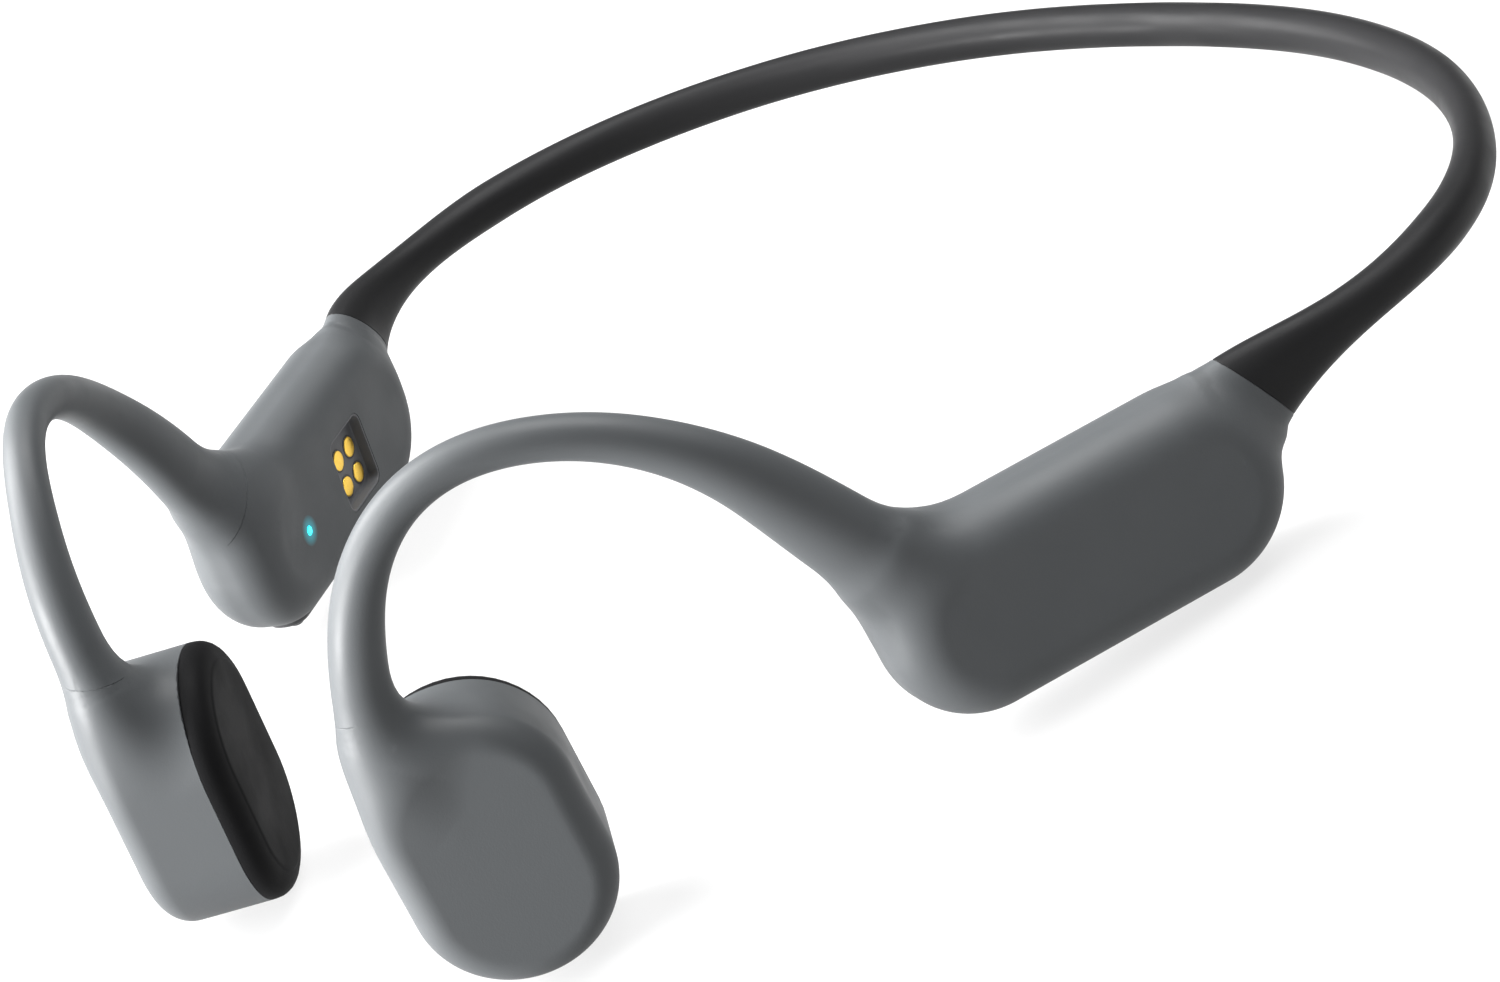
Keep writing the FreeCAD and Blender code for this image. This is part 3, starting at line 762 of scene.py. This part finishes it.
def node_material(name, colour, roughness, metallic=0.0, specular=0.5, coat=0.0):
    made = bpy.data.materials.new(name)
    made.use_nodes = True
    shader = made.node_tree.nodes["Principled BSDF"]
    shader.inputs["Base Color"].default_value = (*colour, 1)
    shader.inputs["Roughness"].default_value = roughness
    shader.inputs["Metallic"].default_value = metallic
    shader.inputs["Specular IOR Level"].default_value = specular
    shader.inputs["Coat Weight"].default_value = coat
    return made, made.node_tree, shader


def noise(tree, scale, detail=4.0, stretch=(1, 1, 1)):
    """Noise over the object's own coordinates, drawn out along an axis by stretch."""
    place = tree.nodes.new("ShaderNodeTexCoord")
    mapping = tree.nodes.new("ShaderNodeMapping")
    mapping.inputs["Scale"].default_value = stretch
    texture = tree.nodes.new("ShaderNodeTexNoise")
    texture.inputs["Scale"].default_value = scale
    texture.inputs["Detail"].default_value = detail
    tree.links.new(place.outputs["Object"], mapping.inputs["Vector"])
    tree.links.new(mapping.outputs["Vector"], texture.inputs["Vector"])
    return texture.outputs["Fac"]


def ramp(tree, value, low, high, from_value=0.35, to_value=0.65):
    """Turns a value into a range of colours or numbers."""
    made = tree.nodes.new("ShaderNodeMapRange")
    made.inputs["From Min"].default_value = from_value
    made.inputs["From Max"].default_value = to_value
    made.inputs["To Min"].default_value = low
    made.inputs["To Max"].default_value = high
    tree.links.new(value, made.inputs["Value"])
    return made.outputs["Result"]


def tint(tree, shader, colour, value, amount):
    """Varies the base colour a little by a value."""
    mix = tree.nodes.new("ShaderNodeMix")
    mix.data_type = "RGBA"
    mix.inputs[6].default_value = (*[c * (1 - amount) for c in colour], 1)
    mix.inputs[7].default_value = (*[min(1, c * (1 + amount)) for c in colour], 1)
    tree.links.new(value, mix.inputs[0])
    tree.links.new(mix.outputs[2], shader.inputs["Base Color"])


def bump(tree, shader, value, depth):
    """Raises the surface by a value, up to a depth in metres."""
    made = tree.nodes.new("ShaderNodeBump")
    made.inputs["Strength"].default_value = 1.0
    made.inputs["Distance"].default_value = depth
    tree.links.new(value, made.inputs["Height"])
    tree.links.new(made.outputs["Normal"], shader.inputs["Normal"])


def moulded(name, colour, roughness, grain, depth, specular=0.5, amount=0.05):
    """Moulded rubber or plastic: a fine grain, faint handling marks and a slow change of shade."""
    made, tree, shader = node_material(name, colour, roughness, specular=specular)
    tint(tree, shader, colour, noise(tree, 45, 6), amount)
    wear = ramp(tree, noise(tree, 160, 5), roughness - 0.05, roughness + 0.06)
    tree.links.new(wear, shader.inputs["Roughness"])
    bump(tree, shader, noise(tree, grain, 3), depth)
    return made


def metal(name, colour, roughness, grain, stretch, depth, amount=0.08):
    """Metal with fine tool or drawing marks along one way."""
    made, tree, shader = node_material(name, colour, roughness, metallic=1.0)
    marks = noise(tree, grain, 4, stretch)
    tint(tree, shader, colour, marks, amount)
    tree.links.new(ramp(tree, marks, roughness * 0.75, roughness * 1.3), shader.inputs["Roughness"])
    bump(tree, shader, marks, depth)
    return made


def board():
    """Green solder mask over faint copper tracks."""
    colour = (0.03, 0.18, 0.08)
    made, tree, shader = node_material("board_green", colour, 0.35, coat=0.3)
    place = tree.nodes.new("ShaderNodeTexCoord")
    cells = tree.nodes.new("ShaderNodeTexVoronoi")
    cells.inputs["Scale"].default_value = 900
    tree.links.new(place.outputs["Object"], cells.inputs["Vector"])
    tint(tree, shader, colour, ramp(tree, cells.outputs["Distance"], 0, 1, 0.2, 0.5), 0.35)
    bump(tree, shader, cells.outputs["Distance"], 2e-5)
    return made


def lit_lens():
    """A clear lens lit cyan from behind."""
    colour = (0.02, 0.62, 0.75)
    made, tree, shader = node_material("light_pipe", colour, 0.2, coat=0.5)
    tint(tree, shader, colour, noise(tree, 900, 2), 0.1)
    shader.inputs["Emission Color"].default_value = (0.0, 0.8, 1.0, 1)
    shader.inputs["Emission Strength"].default_value = 2.2
    return made


def silicone_with_painted_glow(place):
    """The right pod's silicone, with a painted glow round the light's lens."""
    made = moulded("grey_silicone_painted_glow", GREY, *GREY_FINISH)
    tree, shader = made.node_tree, made.node_tree.nodes["Principled BSDF"]
    here = tree.nodes.new("ShaderNodeTexCoord")
    away = tree.nodes.new("ShaderNodeVectorMath")
    away.operation = "DISTANCE"
    away.inputs[1].default_value = place
    tree.links.new(here.outputs["Object"], away.inputs[0])
    # Painted glow: emission on the silicone itself, full within 0.4 mm of the lens and gone by 1.6 mm.
    painted_glow = ramp(tree, away.outputs["Value"], 0.4, 0.0, 0.0004, 0.0016)
    shader.inputs["Emission Color"].default_value = (0.0, 0.65, 0.8, 1)
    tree.links.new(painted_glow, shader.inputs["Emission Strength"])
    return made


def materials():
    """Every finish, by the name of its slot."""
    return {
        "grey_silicone": moulded("grey_silicone", GREY, *GREY_FINISH),
        "black_silicone": moulded("black_silicone", BLACK, 0.40, 4600, 9e-6, 0.06, 0.12),
        "pad_silicone": moulded("pad_silicone", (0.0062, 0.0062, 0.0066), 0.6, 4200, 1.2e-5, 0.04, 0.12),
        "key_rubber": moulded("key_rubber", (0.02, 0.02, 0.022), 0.45, 5200, 1e-5, 0.5, 0.1),
        "dark_plastic": moulded("dark_plastic", (0.075, 0.077, 0.082), 0.45, 6500, 1.2e-5, 0.3, 0.08),
        "inner_plastic": moulded("inner_plastic", (0.12, 0.12, 0.13), 0.5, 3000, 2e-5),
        "cable_jacket": moulded("cable_jacket", (0.05, 0.05, 0.06), 0.4, 2600, 2e-5),
        "chip_black": moulded("chip_black", (0.03, 0.03, 0.03), 0.6, 5000, 2e-5),
        "gold_contact": metal("gold_contact", (0.95, 0.62, 0.10), 0.36, 2500, (1, 1, 1), 6e-7, 0.03),
        "titanium": metal("titanium", (0.55, 0.54, 0.53), 0.35, 900, (1, 8, 1), 8e-6),
        "soft_iron": metal("soft_iron", (0.42, 0.42, 0.43), 0.4, 1400, (1, 1, 6), 1e-5),
        "magnet_nickel": metal("magnet_nickel", (0.72, 0.72, 0.71), 0.2, 1200, (1, 1, 1), 4e-6),
        "coil_copper": metal("coil_copper", (0.72, 0.36, 0.18), 0.3, 2500, (1, 1, 10), 3e-5),
        "spring_steel": metal("spring_steel", (0.6, 0.6, 0.6), 0.3, 1000, (8, 1, 1), 6e-6),
        "battery_foil": metal("battery_foil", (0.66, 0.67, 0.69), 0.42, 300, (1, 1, 1), 5e-5),
        "sensor_metal": metal("sensor_metal", (0.75, 0.75, 0.73), 0.3, 1500, (1, 1, 1), 8e-6),
        "board_green": board(),
        "light_pipe": lit_lens(),
    }


# ---- The object ----

finishes = materials()
slots = {entry["node"]: entry["material_slot"] for entry in frame["record"]["subparts"]}


def dress(piece, slot, body, *nodes):
    """Gives a piece its material and hides the CAD nodes that it stands for. A piece is attached to a body
    given by name; a piece given a bend is left where it is, and nothing bends it.
    """
    piece.data.materials.clear()
    piece.data.materials.append(finishes[slot])
    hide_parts(*nodes)
    if isinstance(body, str):
        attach(piece, body)
    else:
        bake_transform(piece)


def across(point, side):
    """A left arm's point in metres, or its mirror image."""
    return (point[0] * SIDES[side] * MM, point[1] * MM, point[2] * MM)


def band_bend(side):
    return ("neckband", side + "_arm", *[across(point, side) for point in BAND_BEND])


def hook_bend(side):
    return (side + "_arm", side + "_transducer", *[across(point, side) for point in HOOK_BEND])


def core_shapes():
    """The wires and leads inside the neckband and the hook."""
    even = np.linspace(0, 1, 120)
    return {
        "band_wire": core("band_wire_shape", band_tube, even, (0, 0.65), 0.6),
        "band_harness": core("band_harness_shape", band_tube, even, (0, -0.6), 0.55),
        "hook_wire": core("hook_wire_shape", hook_tube, even, (0.5, 0), 0.45),
        "hook_cable": core("hook_cable_shape", hook_tube, even, (-0.5, 0), 0.4),
    }


def make_outside(side, skins, pad_shape):
    """One arm's skins and pad. The right pod is also carved, and its silicone gets a painted glow round the
    light.
    """
    outside = {
        "band": (root_field, "black_silicone", band_bend(side), ("neckband_sleeve",)),
        "hook": (hook_field, "grey_silicone", hook_bend(side), ("hook_sleeve_" + side,)),
        "pod": (root_field, "grey_silicone", side + "_arm", ("pod_shell_" + side, "pod_cover_" + side)),
        "cup": (tip_field, "grey_silicone", side + "_transducer", ("transducer_shell_" + side,)),
    }
    for part, (field, slot, body, nodes) in outside.items():
        piece = placed(skins[part], part, side)
        if part == "pod" and side == "right":
            carve(piece, right_pod_cutters())
        shade(piece, mirrored_field(field, SIDES[side]))
        dress(piece, slot, body, *nodes)
        # The right pod's silicone has a painted glow round the light's lens.
        if part == "pod" and side == "right":
            light = POD.world((*LIGHT_AT, face_height(*LIGHT_AT))) * MM
            piece.data.materials[0] = silicone_with_painted_glow((-light[0], light[1], light[2]))
    pad = placed(pad_shape, "pad", side)
    shade(pad)
    mark_sharp(pad, 25)
    dress(pad, "pad_silicone", side + "_transducer", "transducer_pad_" + side)


def make_inside(side, cores):
    """One arm's wires and leads, fixed in place."""
    inside = {
        "band_wire": ("titanium", band_bend(side), "neckband_wire"),
        "band_harness": ("cable_jacket", band_bend(side), "neckband_harness"),
        "hook_wire": ("titanium", hook_bend(side), "hook_wire_" + side),
        "hook_cable": ("cable_jacket", hook_bend(side), "hook_cable_" + side),
    }
    for name, (slot, bend, node) in inside.items():
        piece = placed(cores[name], name, side)
        shade(piece)
        dress(piece, slot, bend, node)


def right_pod_cutters():
    """Blocks with the shapes of the charging recess and the light's hole."""
    half, centre = (RECESS["length"] / 2, RECESS["height"] / 2), (RECESS["x"], RECESS["y"])
    recess = prism("recess_hole", half, RECESS["corner"], centre, RECESS["floor"] - 0.6, 8)
    light = turned_piece("light_hole", LIGHT_AT[0], LIGHT_AT[1],
                         [(LIGHT_RADIUS + 0.03, 1.6), (LIGHT_RADIUS + 0.03, 8)])
    for cutter in (recess, light):
        mirror(cutter)
    return recess, light


def make_right_pod_fittings():
    """What the right pod carries: tray, contacts, light and keys."""
    fittings = {
        "tray": (recess_tray(), "dark_plastic", "right_arm", ("charge_contact_block",)),
        "contacts": (contacts(), "gold_contact", "right_arm", ("charge_pins",)),
        # Painted shade: dark rubber rings stand for the gap round each contact.
        "shade_rings": (contact_shade_rings(), "key_rubber", "right_arm", ()),
        "lens": (light_lens(), "light_pipe", "right_arm", ("status_light_pipe",)),
        "bezel": (strip_piece("key_bezel", bezel_field), "key_rubber", "right_arm", ("button_bezel",)),
    }
    for name, shift in KEY_OFFSET.items():
        key = strip_piece(name + "_key", key_field(shift))
        fittings[name] = (key, "key_rubber", name + "_key", (name + "_button",))
    for piece, slot, body, nodes in fittings.values():
        mirror(piece)
        shade(piece)
        mark_sharp(piece, 32)
        dress(piece, slot, body, *nodes)


def dress_cad_nodes():
    """Gives the CAD nodes that no piece replaces their finishes."""
    for name, node in frame["nodes"].items():
        if not node.hide_render:
            node.data.materials.clear()
            node.data.materials.append(finishes[slots[name]])


skins = {"band": band_half(), "hook": hook_piece(), "pod": pod_piece(), "cup": cup_piece()}
pad_shape, cores = pad_piece(), core_shapes()
for side in SIDES:
    make_outside(side, skins, pad_shape)
    make_inside(side, cores)
for shape in [*skins.values(), pad_shape, *cores.values()]:
    bpy.data.objects.remove(shape)
make_right_pod_fittings()
dress_cad_nodes()


# ---- Floor, light and camera ----

def floor():
    """A pale plane with a light of its own, so that it stays white."""
    bpy.ops.mesh.primitive_plane_add(size=6.0, location=(0, 0, 0))
    plane = bpy.context.object
    plane.name = "floor"
    pale = (0.12, 0.12, 0.12)
    made, tree, shader = node_material("floor", pale, 0.9, specular=0.1)
    tint(tree, shader, pale, noise(tree, 3, 2), 0.01)
    shader.inputs["Emission Color"].default_value = (1, 1, 1, 1)
    shader.inputs["Emission Strength"].default_value = 0.76
    plane.data.materials.append(made)


def softbox(name, place, target, size, power):
    """A rectangular light that faces the target."""
    data = bpy.data.lights.new(name, "AREA")
    data.shape, data.size, data.size_y = "RECTANGLE", size[0], size[1]
    data.energy = power
    lamp = bpy.data.objects.new(name, data)
    bpy.context.scene.collection.objects.link(lamp)
    lamp.location = place
    lamp.rotation_euler = (Vector(target) - Vector(place)).to_track_quat("-Z", "Y").to_euler()


def camera():
    data = bpy.data.cameras.new("camera")
    data.lens, data.sensor_width, data.clip_start = 120, 36, 0.01
    eye = bpy.data.objects.new("camera", data)
    bpy.context.scene.collection.objects.link(eye)
    right, up, back = Vector(CAMERA_RIGHT), -Vector(CAMERA_DOWN), -Vector(CAMERA_FORWARD)
    turn = Matrix((right, up, back)).transposed().to_4x4()
    eye.matrix_world = Matrix.Translation(CAMERA_PLACE) @ turn
    bpy.context.scene.camera = eye


def lights():
    """Softboxes placed from the camera's side, and a faint even light."""
    middle = Vector((0.02, -0.01, 0.02))
    left, up, forward = -Vector(CAMERA_RIGHT), -Vector(CAMERA_DOWN), Vector(CAMERA_FORWARD)
    softbox("left_strip", middle + left * 1.15 + up * 0.5, middle, (0.7, 1.3), 72)
    softbox("low_left", middle + left * 0.95 - up * 0.45 - forward * 0.25, middle, (0.5, 0.4), 62)
    softbox("top", middle + up * 1.1 - forward * 0.3, middle, (0.9, 0.9), 24)
    softbox("front_left", middle - forward * 0.8 + left * 0.9 + up * 0.2, middle, (0.6, 0.6), 13)
    world = bpy.data.worlds.new("studio")
    bpy.context.scene.world = world
    world.use_nodes = True
    world.node_tree.nodes["Background"].inputs["Color"].default_value = (1, 1, 1, 1)
    world.node_tree.nodes["Background"].inputs["Strength"].default_value = 0.05


floor()
camera()
lights()
bpy.context.scene.view_settings.view_transform = "Standard"
